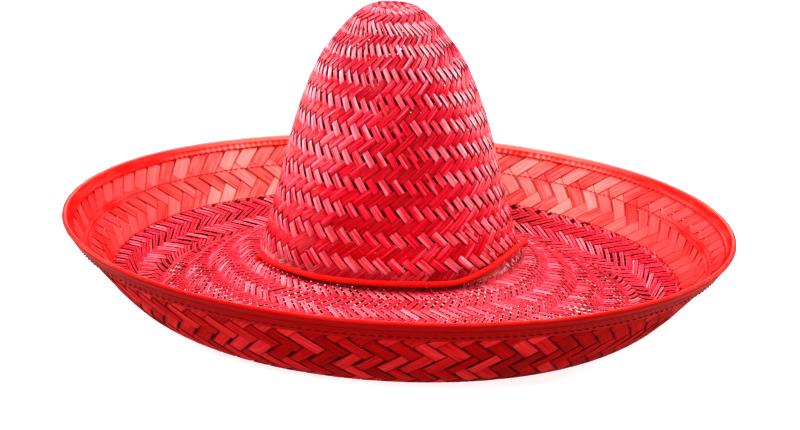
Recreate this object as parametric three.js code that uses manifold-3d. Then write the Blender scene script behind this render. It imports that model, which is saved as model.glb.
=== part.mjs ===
// A wide plaited palm sombrero: a tall leaning crown and a brim that falls to a low ring and turns up again.
//
// Millimetres, +Z up. The hat stands on the flat underside of its low ring, on z = 0. Its front faces -Y, and
// the two holes of the chin cord lie at its sides, on -X and +X. The origin is the centre of its footprint.
//
// The plait, the wide outer band and the tape are sheets. Each is drawn as the line that it makes in a half
// section, [radius, height], and then given its thickness and turned round the axis.

import * as THREE from 'three';
import { mergeVertices } from 'three/addons/utils/BufferGeometryUtils.js';
import Module from 'manifold-3d';

// Driving dimensions
const FACETS = 48; // round every ring
const GAP = 0.3; // clearance between pieces that touch
const PLAIT = 1.8; // thickness of the fine plait of the crown and inner brim
const BAND = 1.4; // thickness of the wide palm of the outer brim
const STRIP = 0.5; // thickness of the narrow palm strip over the band's middle
const TAPE = 0.6; // thickness of the rim's binding tape
const TAPE_LEG = 14.5; // how far the tape reaches down the rim's outer face
const TAPE_INNER_LEG = 7; // and down its inner face
const THREAD = 0.8; // width and height of a row of stitches
const WIRE_RADIUS = 1.0; // the spring wire inside the rim
const CORD = 4.5; // diameter of the braided cord

// The sheets' middle lines, [radius, height]
const CROWN_LINE = [
  [0, 229.6], [14.2, 228.3], [24.1, 223.9], [34, 214.9], [42, 205.4], [54.9, 187.5],
  [67, 159.8], [76.3, 130.8], [86.4, 89.3], [95.3, 56.8], [98.8, 44.6],
];
const CROWN_STEPS = 15;
const INNER_BRIM_LINE = [
  [99.5, 41.8], [101.6, 38.6], [105.4, 36.4], [112, 34.1], [131, 26.8], [151, 18.5], [171, 9.9], [182, 5], [188, 2.6],
];
const BAND_LINE = [
  [184, 0.7], [193.5, 0.7], [199.8, 2.9], [209.5, 9.2], [222, 20.6], [226.5, 25.9], [242.5, 44.5], [252, 56.4],
  [256.2, 62],
];
const WIRE_CENTRE = [257.8, 64.2];
const PLAIT_ON_BAND = BAND / 2 + GAP + PLAIT / 2; // from the band's middle line to the plait's
const PLAIT_EDGE = 224.6; // radius where the fine plait ends on the band
const SEAM_RADIUS = 220.5; // the row of stitches that holds the plait on the band
const MID_SEAM_RADIUS = 241; // the seam along the middle of the band's turned-up part
const STRIP_WIDTH = 7;
const STRIP_ENDS = [-225, 7.5]; // degrees from +X, on facet edges: the strip runs between them round the front

// The crown stands a little off the brim's centre and leans
const CROWN_SHIFT = [-5.3, 1.8];
const CROWN_LEAN = [-6.9, 2.4]; // further shift at the tip
const CROWN_FOOT = 40;
const CROWN_TIP = 230;
const LOW_RING_RADIUS = 188; // where the brim is centred again

// The cord: round the crown's foot at the front, down through two holes and on to a knot on the floor
const FRONT_CORD = [ // degrees from +X, radius and height round the crown's centre: it climbs the crown at the right
  [190, 107.6, 39.4], [200, 106.9, 39.6], [210, 106.4, 39.8], [220, 106.1, 39.9], [230, 105, 40.4], [240, 104.3, 41],
  [250, 103.9, 41.4], [260, 103.9, 41.4], [270, 104.4, 40.9], [278, 104.7, 40.8], [286, 103.4, 42.3],
  [296, 102.2, 45.6], [307, 100.9, 49.5], [317, 100.4, 51.2], [328, 100.5, 50.8], [340, 101.9, 47], [350, 105.3, 41.9],
];
const HOLE_RADIUS = 2.9;
const HOLE = [109, -7.5]; // from the crown's centre to a hole, for the hole at +X
const HOLE_EXIT = 30.5; // height where the cord comes out below the brim
const TAIL_GAP = 2.7; // half the distance between the two tails where they run side by side
const TAIL_HEIGHT = 4.2; // height of the tails inside the slider
const LEFT_TAIL = [
  [-114.3, -5.7, 30.2], [-114.3, -5.4, 20], [-113.4, -3, 11], [-109.6, 2.4, 4.5], [-103, 9.8, 2.3], [-93, 19.5, 2.3],
  [-80, 30, 2.3], [-65, 38.6, 2.3], [-48, 43.2, 2.3], [-31, 41.6, 2.4], [-17.5, 33.2, 2.9], [-9, 21, 3.6],
  [-4.4, 8, 4.1], [-TAIL_GAP, -6, TAIL_HEIGHT], [-TAIL_GAP, -30, TAIL_HEIGHT], [-TAIL_GAP, -60, TAIL_HEIGHT],
  [-TAIL_GAP, -88, TAIL_HEIGHT],
];
const RIGHT_TAIL = [
  [103.7, -5.7, 30.2], [103.8, -5.2, 20], [103.2, -2.4, 11], [100.2, 3.4, 4.5], [94.6, 11.6, 2.3], [85.6, 22.6, 2.3],
  [74, 33.4, 2.3], [60, 42.2, 2.3], [44, 46.2, 2.3], [28.6, 43, 2.4], [16.6, 33.6, 2.9], [8.8, 21, 3.6],
  [4.4, 8, 4.1], [TAIL_GAP, -6, TAIL_HEIGHT], [TAIL_GAP, -30, TAIL_HEIGHT], [TAIL_GAP, -60, TAIL_HEIGHT],
  [TAIL_GAP, -88, TAIL_HEIGHT],
];
const KNOT = { y: -95.6, halfWidth: 8, halfLength: 7, halfHeight: 5.6 };
const CORD_END = 17; // length of each cord end below the knot
const SLIDER = { y: -66, length: 16, halfWidth: 8.4, halfHeight: 4.2, boreHalfWidth: 5.5, boreRadius: 2.75 };

const PALM_RED = 0xc4122f;
const BAND_RED = 0xd92a25;
const TAPE_RED = 0xe0201c;
const CORD_RED = 0xf03a24;
const WOOD = 0xb98a55;
const STEEL = 0x8a8d90;

const wasm = await Module();
wasm.setup();
const hat = new THREE.Group();

function addPiece(name, geometry, color, roughness, metalness = 0) {
  const mesh = new THREE.Mesh(geometry, new THREE.MeshStandardMaterial({ color, roughness, metalness }));
  mesh.name = name;
  hat.add(mesh);
  return mesh;
}

// Lines in the half section

const toPoints = (line) => line.map(([r, z]) => new THREE.Vector2(r, z));

function smooth(line, steps) {
  return new THREE.SplineCurve(toPoints(line)).getSpacedPoints(steps);
}

/** The same line moved sideways: upwards and inwards for a line that runs outwards from the crown. */
function offset(points, distance) {
  return points.map((point, i) => {
    const before = points[Math.max(i - 1, 0)];
    const after = points[Math.min(i + 1, points.length - 1)];
    const inward = point.clone().sub(before);
    const outward = after.clone().sub(point);
    if (i === 0) inward.copy(outward);
    if (i === points.length - 1) outward.copy(inward);
    const along = inward.normalize().add(outward.normalize()).normalize();
    const mitre = distance / Math.max(along.dot(outward), 0.5);
    return new THREE.Vector2(point.x - along.y * mitre, point.y + along.x * mitre);
  });
}

/** A closed outline round the space between two offsets of a line. */
function sheet(points, low, high) {
  return [...offset(points, low), ...offset(points, high).reverse()];
}

/** The point of a line at a given radius, and the line's direction there. */
function at(points, radius) {
  const i = points.findIndex((point, k) => k > 0 && point.x >= radius);
  const from = points[i - 1];
  const along = points[i].clone().sub(from);
  const point = from.clone().addScaledVector(along, (radius - from.x) / along.x);
  return { point, along: along.normalize() };
}

/** The stretch of a line between two radii. */
function stretch(points, fromRadius, toRadius) {
  const inside = points.filter((point) => point.x > fromRadius + 0.5 && point.x < toRadius - 0.5);
  return [at(points, fromRadius).point, ...inside, at(points, toRadius).point];
}

// Solids

/** Turns an outline round the Z axis. One that doesn't touch the axis is closed first. */
function turn(outline, startDegrees = 0, sweepDegrees = 360) {
  const onAxis = outline[0].x < 1e-6;
  const ring = onAxis ? [...outline] : [...outline, outline[0]];
  if (THREE.ShapeUtils.area(outline) < 0) ring.reverse();
  const start = THREE.MathUtils.degToRad(startDegrees + 90);
  const sweep = THREE.MathUtils.degToRad(sweepDegrees);
  const facets = Math.round((FACETS * sweepDegrees) / 360);
  return new THREE.LatheGeometry(ring, facets, start, sweep).rotateX(Math.PI / 2);
}

/** The sideways shift of the hat's axis at a radius and height: all of it in the crown, none at the low ring. */
function axisShift(radius, height) {
  const foot = CROWN_LINE.at(-1)[0];
  const share = 1 - THREE.MathUtils.smoothstep(radius, foot, LOW_RING_RADIUS);
  const up = Math.max(height - CROWN_FOOT, 0) / (CROWN_TIP - CROWN_FOOT);
  const lean = radius > foot + 12 ? 0 : up;
  return [CROWN_SHIFT[0] * share + CROWN_LEAN[0] * lean, CROWN_SHIFT[1] * share + CROWN_LEAN[1] * lean];
}

/** Moves a turned solid's points to the shifted, leaning axis. */
function leaning(geometry) {
  const position = geometry.attributes.position;
  for (let i = 0; i < position.count; i++) {
    const [x, y, z] = [position.getX(i), position.getY(i), position.getZ(i)];
    const [dx, dy] = axisShift(Math.hypot(x, y), z);
    position.setXYZ(i, x + dx, y + dy, z);
  }
  geometry.computeVertexNormals();
  return geometry;
}

function roundSection(radius, sides) {
  const corners = Array.from({ length: sides }, (_, i) => {
    const angle = (2 * Math.PI * (i + 0.5)) / sides;
    return new THREE.Vector2(radius * Math.cos(angle), radius * Math.sin(angle));
  });
  return new THREE.Shape(corners);
}

/** A solid cord through a list of points. */
function cord(points, step) {
  const path = new THREE.CatmullRomCurve3(points.map((p) => new THREE.Vector3(...p)), false, 'centripetal');
  const steps = Math.round(path.getLength() / step);
  return new THREE.ExtrudeGeometry(roundSection(CORD / 2, 8), { extrudePath: path, steps });
}

function toSolid(geometry) {
  const bare = geometry.index ? geometry.toNonIndexed() : geometry.clone();
  bare.deleteAttribute('normal');
  bare.deleteAttribute('uv');
  const merged = mergeVertices(bare, 1e-4);
  const vertProperties = new Float32Array(merged.attributes.position.array);
  const triVerts = new Uint32Array(merged.index.array);
  return new wasm.Manifold(new wasm.Mesh({ numProp: 3, vertProperties, triVerts }));
}

function toGeometry(solid) {
  const mesh = solid.getMesh();
  const geometry = new THREE.BufferGeometry();
  geometry.setAttribute('position', new THREE.BufferAttribute(new Float32Array(mesh.vertProperties), 3));
  geometry.setIndex(new THREE.BufferAttribute(new Uint32Array(mesh.triVerts), 1));
  geometry.computeVertexNormals();
  return geometry;
}

// The plaited body: one plait from the tip to its edge on the band, parted at the crown's foot and the low ring

const holes = [-1, 1].map((side) => [CROWN_SHIFT[0] + side * HOLE[0], CROWN_SHIFT[1] + HOLE[1]]);
const bandLine = toPoints(BAND_LINE);

function crown() {
  const line = smooth(CROWN_LINE, CROWN_STEPS);
  const outer = offset(line, PLAIT / 2);
  const inner = offset(line, -PLAIT / 2);
  outer[0].x = 0;
  inner[0].x = 0;
  return leaning(turn([...inner, ...outer.reverse()]));
}

/** The plait from the crown's foot down to the low ring, with the cord's two holes. */
function innerBrim() {
  const line = toPoints(INNER_BRIM_LINE);
  let solid = toSolid(leaning(turn(sheet(line, -PLAIT / 2, PLAIT / 2))));
  for (const [x, y] of holes) {
    const drill = new THREE.CylinderGeometry(HOLE_RADIUS, HOLE_RADIUS, 20, 12).rotateX(Math.PI / 2);
    drill.translate(x, y, CROWN_FOOT - 5);
    solid = solid.subtract(toSolid(drill));
  }
  return toGeometry(solid);
}

/** The plait where it lies on the band, from the low ring up to its edge. */
function brimTurnUp() {
  const climb = offset(bandLine, PLAIT_ON_BAND);
  const line = stretch(climb, LOW_RING_RADIUS + 3 * GAP, PLAIT_EDGE);
  return turn(sheet(line, -PLAIT / 2, PLAIT / 2));
}

// The outer brim: the wide band, the strip along its middle, and the wired and bound rim

function wideBand() {
  return turn(sheet(bandLine, -BAND / 2, BAND / 2));
}

function seamStrip() {
  const lift = BAND / 2 + GAP + STRIP / 2;
  const half = (STRIP_WIDTH / 2) * 0.65; // the wall's slope foreshortens the strip's width in plan
  const line = offset(stretch(bandLine, MID_SEAM_RADIUS - half, MID_SEAM_RADIUS + half), lift);
  const [from, to] = STRIP_ENDS;
  const outline = sheet(line, -STRIP / 2, STRIP / 2);
  return cappedTurn(outline, from, to - from);
}

/** A part turn of an outline, with its two ends closed. */
function cappedTurn(outline, startDegrees, sweepDegrees) {
  const shape = new THREE.Shape(outline);
  const steps = Math.round((FACETS * sweepDegrees) / 360);
  const body = new THREE.ExtrudeGeometry(shape, { depth: 1, steps, bevelEnabled: false });
  const position = body.attributes.position;
  for (let i = 0; i < position.count; i++) {
    const radius = position.getX(i);
    const height = position.getY(i);
    const angle = THREE.MathUtils.degToRad(startDegrees + (1 - position.getZ(i)) * sweepDegrees);
    position.setXYZ(i, radius * Math.cos(angle), radius * Math.sin(angle), height);
  }
  body.computeVertexNormals();
  return body;
}

function rimBinding() {
  const leg = at(bandLine, BAND_LINE.at(-1)[0]).point.clone();
  const inPlan = 0.62; // of the wall's slant length
  const outerLine = stretch(bandLine, leg.x - TAPE_LEG * inPlan, leg.x);
  const innerLine = stretch(bandLine, leg.x - TAPE_INNER_LEG * inPlan, leg.x);
  const inside = BAND / 2 + GAP;
  const centre = new THREE.Vector2(...WIRE_CENTRE);
  const up = centre.clone().sub(outerLine[0]).normalize();
  const arc = (radius) => Array.from({ length: 5 }, (_, i) => {
    const angle = Math.atan2(up.y, up.x) - Math.PI / 2 + (Math.PI * i) / 4;
    return new THREE.Vector2(centre.x + radius * Math.cos(angle), centre.y + radius * Math.sin(angle));
  });
  const wrap = (gap, radius) => [...offset(outerLine, -gap), ...arc(radius), ...offset(innerLine, gap).reverse()];
  const outer = wrap(inside + TAPE, WIRE_RADIUS + GAP + TAPE);
  const inner = wrap(inside, WIRE_RADIUS + GAP);
  return turn([...outer, ...inner.reverse()]);
}

function rimWire() {
  const [r, z] = WIRE_CENTRE;
  return turn(roundSection(WIRE_RADIUS, 6).getPoints().slice(0, 6).map((p) => new THREE.Vector2(r + p.x, z + p.y)));
}

/** A row of stitches standing on one face of the wall, at a height above the band's middle line. */
function stitchRow(radius, height) {
  const { point, along } = at(bandLine, radius);
  const side = Math.sign(height);
  const across = new THREE.Vector2(-along.y, along.x).multiplyScalar(side);
  const half = along.clone().multiplyScalar(THREAD / 2);
  const base = point.clone().addScaledVector(across, Math.abs(height));
  const top = base.clone().addScaledVector(across, THREAD);
  return turn([base.clone().sub(half), base.clone().add(half), top.clone().add(half), top.clone().sub(half)]);
}

// The cord, its slider and its knot

/** The cord's front stretch: up through the left hole, round the crown's foot and down through the right hole. */
function crownCord() {
  const [cx, cy] = CROWN_SHIFT;
  const dive = (side) => {
    const x = cx + side * HOLE[0];
    const y = cy + HOLE[1];
    return [
      [x, y, HOLE_EXIT], [x, y, 33.5], [x, y, 36.2], [x - side * 0.3, y - 2.1, 39.1], [x - side * 1.3, y - 6, 40.1],
    ];
  };
  const ring = FRONT_CORD.map(([degrees, radius, height]) => {
    const angle = THREE.MathUtils.degToRad(degrees);
    return [cx + radius * Math.cos(angle), cy + radius * Math.sin(angle), height];
  });
  return cord([...dive(-1), ...ring, ...dive(1).reverse()], 4.5);
}

/** An oval barrel with one long bore for both tails. */
function slider() {
  const { y, length, halfWidth, halfHeight, boreHalfWidth, boreRadius } = SLIDER;
  const half = length / 2;
  const barrel = new THREE.LatheGeometry(toPoints([
    [0, -half], [0.74, -half], [0.9, -half + 1.6], [1, -half + 4.6], [1, half - 4.6], [0.9, half - 1.6], [0.74, half],
    [0, half],
  ]), 24).scale(halfWidth, 1, halfHeight);
  const middle = boreHalfWidth - boreRadius;
  const bore = new THREE.Shape();
  bore.absarc(middle, 0, boreRadius, -Math.PI / 2, Math.PI / 2);
  bore.absarc(-middle, 0, boreRadius, Math.PI / 2, (3 * Math.PI) / 2);
  const cut = new THREE.ExtrudeGeometry(bore, { depth: 2 * length, curveSegments: 6, bevelEnabled: false });
  cut.translate(0, 0, -length).rotateX(Math.PI / 2);
  return toGeometry(toSolid(barrel).subtract(toSolid(cut))).translate(0, y, halfHeight);
}

function knot() {
  const { y, halfWidth, halfLength, halfHeight } = KNOT;
  return new THREE.SphereGeometry(1, 12, 8).scale(halfWidth, halfLength, halfHeight).translate(0, y, halfHeight);
}

function cordEnd(side) {
  const start = KNOT.y - KNOT.halfLength - GAP;
  const low = CORD / 2 + 0.1;
  return cord([
    [side * 3, start, 4.2], [side * 3.6, start - CORD_END / 2, 2.9], [side * 5.2, start - CORD_END, low],
  ], 4);
}

addPiece('crown', crown(), PALM_RED, 0.45);
addPiece('inner_brim', innerBrim(), PALM_RED, 0.45);
addPiece('brim_turn_up', brimTurnUp(), PALM_RED, 0.45);
addPiece('outer_band', wideBand(), BAND_RED, 0.4);
addPiece('seam_strip', seamStrip(), BAND_RED, 0.4);
addPiece('rim_wire', rimWire(), STEEL, 0.35, 1);
addPiece('rim_binding', rimBinding(), TAPE_RED, 0.3);

const onPlait = PLAIT_ON_BAND + PLAIT / 2 + GAP;
const onTape = BAND / 2 + GAP + TAPE + GAP;
addPiece('plait_seam_thread', stitchRow(SEAM_RADIUS, onPlait), TAPE_RED, 0.6);
addPiece('strip_seam_thread', stitchRow(MID_SEAM_RADIUS, BAND / 2 + GAP + STRIP + GAP), TAPE_RED, 0.6);
addPiece('binding_thread_inner', stitchRow(253, onTape), TAPE_RED, 0.6);
addPiece('binding_thread_outer', stitchRow(250, -onTape), TAPE_RED, 0.6);

addPiece('crown_cord', crownCord(), CORD_RED, 0.7);
addPiece('chin_cord_left', cord(LEFT_TAIL, 9), CORD_RED, 0.7);
addPiece('chin_cord_right', cord(RIGHT_TAIL, 9), CORD_RED, 0.7);
addPiece('cord_slider', slider(), WOOD, 0.5);
addPiece('cord_knot', knot(), CORD_RED, 0.7);
addPiece('cord_end_left', cordEnd(-1), CORD_RED, 0.7);
addPiece('cord_end_right', cordEnd(1), CORD_RED, 0.7);

export default hat;
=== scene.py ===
"""A red plaited palm sombrero: plaited strips, a wide palm band, a bound and wired rim, and a braided chin cord.

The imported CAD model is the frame. The plait, the band, the tape, the threads and the cord are built here as real
strips, folds, stitches and braids on the same lines as the CAD shells, which they replace.
Lengths are in millimetres until a mesh is made, and in metres in every Blender object.
"""

import bpy
import numpy as np
from mathutils import Matrix, Vector


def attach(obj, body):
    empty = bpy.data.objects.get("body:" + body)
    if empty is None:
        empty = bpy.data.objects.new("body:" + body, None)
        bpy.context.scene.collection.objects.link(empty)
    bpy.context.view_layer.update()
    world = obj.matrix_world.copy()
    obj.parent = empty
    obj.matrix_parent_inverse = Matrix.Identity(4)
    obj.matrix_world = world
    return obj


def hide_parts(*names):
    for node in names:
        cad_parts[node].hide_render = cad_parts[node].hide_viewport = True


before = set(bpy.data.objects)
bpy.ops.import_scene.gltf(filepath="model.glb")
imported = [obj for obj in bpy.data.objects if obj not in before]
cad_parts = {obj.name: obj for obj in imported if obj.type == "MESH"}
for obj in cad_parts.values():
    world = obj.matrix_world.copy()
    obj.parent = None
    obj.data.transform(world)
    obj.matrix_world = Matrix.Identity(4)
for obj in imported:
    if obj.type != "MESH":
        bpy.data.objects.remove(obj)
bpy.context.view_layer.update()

MM = 0.001
TAU = 2 * np.pi

# The sheets' middle lines in a half section, [radius, height], as in the CAD model
CROWN_LINE = [
    [0, 229.6], [14.2, 228.3], [24.1, 223.9], [34, 214.9], [42, 205.4], [54.9, 187.5],
    [67, 159.8], [76.3, 130.8], [86.4, 89.3], [95.3, 56.8], [98.8, 44.6],
]
BRIM_LINE = [[101.6, 38.6], [105.4, 36.4], [112, 34.1], [131, 26.8], [151, 18.5], [171, 9.9], [182, 5], [188, 2.6]]
BAND_LINE = [
    [184, 0.7], [193.5, 0.7], [199.8, 2.9], [209.5, 9.2], [222, 20.6], [226.5, 25.9], [242.5, 44.5], [252, 56.4],
    [256.2, 62],
]
PLAIT_ON_BAND = 1.9 # from the band's middle line to the fine plait's
PLAIT_EDGE = 224.6 # radius where the fine plait ends on the band
SEAM_RADIUS = 220.5
MID_SEAM_RADIUS = 241
WIRE_CENTRE = [257.8, 64.2]
LINE_STEP = 0.5 # between the points of a sheet's line
CURVE_STEPS = 40 # between two given points of a curve, before it is cut into even steps
LIT_SIDE = 71.0 # degrees from +X, the side of the rim across the hat from the camera, which is painted palest as painted light

# The crown stands a little off the brim's centre and leans
CROWN_SHIFT = (-5.3, 1.8)
CROWN_LEAN = (-6.9, 2.4)
CROWN_FOOT = 40
CROWN_TIP = 230
FOOT_RADIUS = 98.8
LOW_RING_RADIUS = 188


# Lines and surfaces

def unit(vectors):
    """Vectors of the same directions and length 1."""
    return vectors / np.linalg.norm(vectors, axis=-1, keepdims=True)


def lengths_along(points):
    """How far along a line each of its points lies."""
    return np.concatenate([[0], np.cumsum(np.linalg.norm(np.diff(points, axis=0), axis=1))])


def even_steps(points, step):
    """Points at equal steps along a finely drawn line, and how far along it they lie."""
    along = lengths_along(points)
    at = np.linspace(0, along[-1], max(int(along[-1] / step) + 1, 2))
    return np.stack([np.interp(at, along, column) for column in points.T], 1), at


def spline(points, step):
    """Points at equal steps along a smooth curve through the given points."""
    p = np.array(points, float)
    q = np.vstack([p[0], p, p[-1]])
    t = np.linspace(0, 1, CURVE_STEPS, endpoint=False)[:, None]
    pieces = []
    for a, b, c, d in zip(q[:-3], q[1:-2], q[2:-1], q[3:]):
        v0, v1 = (c - a) / 2, (d - b) / 2
        pieces.append((2 * b - 2 * c + v0 + v1) * t**3 + (-3 * b + 3 * c - 2 * v0 - v1) * t**2 + v0 * t + b)
    return even_steps(np.vstack(pieces + [p[-1:]]), step)[0]


def normals_of(points):
    """Unit normals of a line in the half section: up on the brim and outwards on the crown."""
    tangent = unit(np.gradient(points, axis=0))
    return np.stack([-tangent[:, 1], tangent[:, 0]], 1)


def moved(points, distance):
    """A line in the half section moved sideways."""
    p = np.array(points, float)
    return p + normals_of(p) * distance


class Section:
    """A sheet's middle line, read by the distance along it."""

    def __init__(self, points):
        self.line = spline(points, LINE_STEP)
        self.s = lengths_along(self.line)
        self.n = normals_of(self.line)
        self.length = self.s[-1]

    def read(self, s):
        """The radius, the height and the normal's two parts."""
        return [np.interp(s, self.s, column) for column in (*self.line.T, *self.n.T)]

    def at_radius(self, radius):
        """The distance along the line where it last passes a radius."""
        inside = np.nonzero(self.line[:, 0] < radius)[0]
        return self.s[inside[-1]]


def smoothstep(x, low, high):
    """0 below low, 1 above high and smooth between."""
    t = np.clip((x - low) / (high - low), 0, 1)
    return t * t * (3 - 2 * t)


def bell(x, centre, width):
    """1 at the centre, and near 0 beyond twice the width."""
    return np.exp(-(((x - centre) / width) ** 2))


def axis_shift(r, z):
    """How far the hat's axis stands to the side: all of the shift in the crown, none at the low ring."""
    share = 1 - smoothstep(r, FOOT_RADIUS, LOW_RING_RADIUS)
    lean = np.clip((z - CROWN_FOOT) / (CROWN_TIP - CROWN_FOOT), 0, None) * (r < FOOT_RADIUS + 12)
    return CROWN_SHIFT[0] * share + CROWN_LEAN[0] * lean, CROWN_SHIFT[1] * share + CROWN_LEAN[1] * lean


def angle_of(points, centre=(0, 0)):
    """Degrees from +X round an upright axis, from 0 to 360."""
    return np.degrees(np.arctan2(points[..., 1] - centre[1], points[..., 0] - centre[0])) % 360


def from_lit_side(degrees):
    """How many degrees an angle lies from the side of the rim that is painted palest, as painted light."""
    return np.abs((degrees - LIT_SIDE + 180) % 360 - 180)


def on_sheet(section, s, theta, height):
    """Points at a height above a sheet's middle surface."""
    r, z, nr, nz = section.read(s)
    dx, dy = axis_shift(r, z)
    radius = r + nr * height
    return np.stack([radius * np.cos(theta) + dx, radius * np.sin(theta) + dy, z + nz * height], -1)


# Meshes

def add_object(name, data):
    thing = bpy.data.objects.new(name, data)
    bpy.context.scene.collection.objects.link(thing)
    return thing


def new_piece(name, mesh, nodes=(), body="hat"):
    """A visible piece that rides on a body, and the CAD nodes that it takes the place of."""
    piece = add_object(name, mesh)
    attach(piece, body)
    if nodes:
        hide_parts(*nodes)
    return piece


def grid_faces(rows, columns):
    """Quads of a grid of points, closed round its columns."""
    i, j = np.meshgrid(np.arange(rows - 1) * columns, np.arange(columns), indexing="ij")
    k = (j + 1) % columns
    return np.stack([i + j, i + k, i + columns + k, i + columns + j], -1).reshape(-1, 4)


def ring_faces(rows, columns):
    """Quads of a grid of points, closed both ways."""
    return grid_faces(rows + 1, columns) % (rows * columns)


def tube_faces(rows, corners, copies=1, flipped=False):
    """Quads and end caps of closed tubes, each a grid of row and corner."""
    sides = grid_faces(rows, corners)
    ends = np.stack([np.arange(corners)[::-1], np.arange(corners) + (rows - 1) * corners])
    if flipped:
        sides, ends = sides[:, ::-1], ends[:, ::-1]
    shift = (np.arange(copies) * rows * corners)[:, None, None]
    return [(sides[None] + shift).reshape(-1, 4), (ends[None] + shift).reshape(-1, corners)]


def build_mesh(name, points, faces, material, uv, attributes=None, other=None):
    """A mesh in metres from points in millimetres. faces is a list of arrays, each of one number of corners.

    other holds a second material and, for each polygon, whether it has that one.
    """
    mesh = bpy.data.meshes.new(name)
    loops = np.concatenate([f.reshape(-1) for f in faces])
    sizes = np.concatenate([np.full(len(f), f.shape[1]) for f in faces])
    points = np.asarray(points).reshape(-1, 3)
    mesh.vertices.add(len(points))
    mesh.vertices.foreach_set("co", (points * MM).astype(np.float32).ravel())
    mesh.loops.add(len(loops))
    mesh.loops.foreach_set("vertex_index", loops.astype(np.int32))
    mesh.polygons.add(len(sizes))
    mesh.polygons.foreach_set("loop_start", np.concatenate([[0], np.cumsum(sizes)[:-1]]).astype(np.int32))
    mesh.polygons.foreach_set("loop_total", sizes.astype(np.int32))
    mesh.polygons.foreach_set("use_smooth", np.full(len(sizes), True))
    layer = mesh.uv_layers.new(name="strip")
    layer.data.foreach_set("uv", np.asarray(uv).reshape(-1, 2)[loops].astype(np.float32).ravel())
    for key, values in (attributes or {}).items():
        attribute = mesh.attributes.new(key, "FLOAT", "POINT")
        attribute.data.foreach_set("value", np.asarray(values, np.float32).ravel())
    mesh.materials.append(material)
    if other:
        mesh.materials.append(other[0])
        mesh.polygons.foreach_set("material_index", other[1].astype(np.int32))
    mesh.update()
    mesh.validate()
    return mesh


# Materials

def set_sockets(node, values):
    for name, value in values.items():
        node.inputs[name].default_value = value


class Graph:
    """A new material, with short calls for the nodes that the materials share."""

    def __init__(self, name):
        self.material = bpy.data.materials.new(name)
        self.material.use_nodes = True
        self.tree = self.material.node_tree
        self.shader = next(node for node in self.tree.nodes if node.type == "BSDF_PRINCIPLED")

    def add(self, kind, **settings):
        node = self.tree.nodes.new(kind)
        for key, value in settings.items():
            setattr(node, key, value)
        return node

    def link(self, source, target):
        """Link an output to an input, or set the input where the source is a number."""
        if isinstance(source, (int, float)):
            target.default_value = source
        else:
            self.tree.links.new(source, target)

    def attribute(self, name):
        return self.add("ShaderNodeAttribute", attribute_name=name).outputs["Fac"]

    def math(self, operation, a, b, clamp=False):
        node = self.add("ShaderNodeMath", operation=operation, use_clamp=clamp)
        self.link(a, node.inputs[0])
        self.link(b, node.inputs[1])
        return node.outputs[0]

    def times(self, value, factor):
        return self.math("MULTIPLY", value, factor)

    def ramp(self, value, stops):
        node = self.add("ShaderNodeValToRGB")
        self.link(value, node.inputs[0])
        elements = node.color_ramp.elements
        while len(elements) < len(stops):
            elements.new(0.5)
        for element, (position, color) in zip(elements, stops):
            element.position = position
            element.color = (*color, 1)
        return node.outputs[0]

    def mix(self, factor, a, b, blend="MIX"):
        """Mix two colours, by the node's colour sockets: 6, 7 and output 2."""
        node = self.add("ShaderNodeMix", data_type="RGBA", blend_type=blend)
        self.link(factor, node.inputs[0])
        self.link(a, node.inputs[6])
        node.inputs[7].default_value = (*b, 1)
        return node.outputs[2]

    def noise(self, scale, detail, rough):
        """Noise at one scale all round or, from two scales, across and along a strip."""
        node = self.add("ShaderNodeTexNoise")
        if isinstance(scale, tuple):
            mapping = self.add("ShaderNodeMapping")
            self.link(self.add("ShaderNodeUVMap", uv_map="strip").outputs[0], mapping.inputs["Vector"])
            self.link(mapping.outputs[0], node.inputs["Vector"])
            mapping.inputs["Scale"].default_value = (*scale, 1)
            scale = 1.0
        set_sockets(node, {"Scale": scale, "Detail": detail, "Roughness": rough})
        return node.outputs["Fac"]

    def finish(self, color, constants, relief=None):
        """Link the colour and the relief, which is a height, a strength and a depth in metres, to the shader."""
        self.link(color, self.shader.inputs["Base Color"])
        if relief:
            height, strength, depth = relief
            node = self.add("ShaderNodeBump")
            self.link(height, node.inputs["Height"])
            set_sockets(node, {"Strength": strength, "Distance": depth})
            self.link(node.outputs[0], self.shader.inputs["Normal"])
        set_sockets(self.shader, constants)
        return self.material


BLACK, WHITE = (0, 0, 0), (1, 1, 1)


def palm(name, dark, middle, light, edge, painted_sheen, painted_shade, rough, specular, fibre, anisotropic):
    """Dyed palm leaf: fibres along each strip, dye that varies from strip to strip, and painted light and shade: edges
    and dips painted dark as painted shade, a painted sheen, and a painted shade multiplied into the colour.
    """
    g = Graph(name)
    streaks = g.noise((fibre, 0.035), 3, 0.6)
    blotches = g.noise((0.12, 0.06), 2, 0.5)
    uneven = g.math("SUBTRACT", streaks, 0.5)
    tone = g.math("ADD", g.times(g.attribute("tone"), 0.45), g.times(blotches, 0.4))
    tone = g.math("ADD", tone, g.times(uneven, 0.9))
    color = g.ramp(tone, [(0.12, dark), (0.42, middle), (0.85, light)])
    # painted shade: edges darkened towards the edge colour, unevenly along the fibre streaks
    edge_shade = g.math("ADD", g.attribute("edge"), g.times(uneven, 0.5))
    color = g.mix(g.ramp(edge_shade, [(0.7, BLACK), (1.02, WHITE)]), color, edge)
    # painted sheen: mixed towards a paler colour by an attribute
    color = g.mix(g.times(g.attribute("painted_sheen"), 0.5), color, painted_sheen)
    # painted shade where a strip dips under the strips that cross it
    color = g.mix(g.attribute("dip_shade"), color, edge)
    # painted shade multiplied into the colour
    color = g.mix(g.attribute("painted_shade"), color, painted_shade, "MULTIPLY")
    roughness = g.math("ADD", g.times(streaks, 0.25), rough - 0.12)
    roughness = g.math("ADD", roughness, g.times(g.attribute("dip_shade"), 0.6), clamp=True)
    g.link(roughness, g.shader.inputs["Roughness"])
    tangent = g.add("ShaderNodeTangent", direction_type="UV_MAP", uv_map="strip")
    g.link(tangent.outputs[0], g.shader.inputs["Tangent"])
    return g.finish(color, {"Specular IOR Level": specular, "Anisotropic": anisotropic}, (streaks, 0.5, 0.0004))


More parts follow.
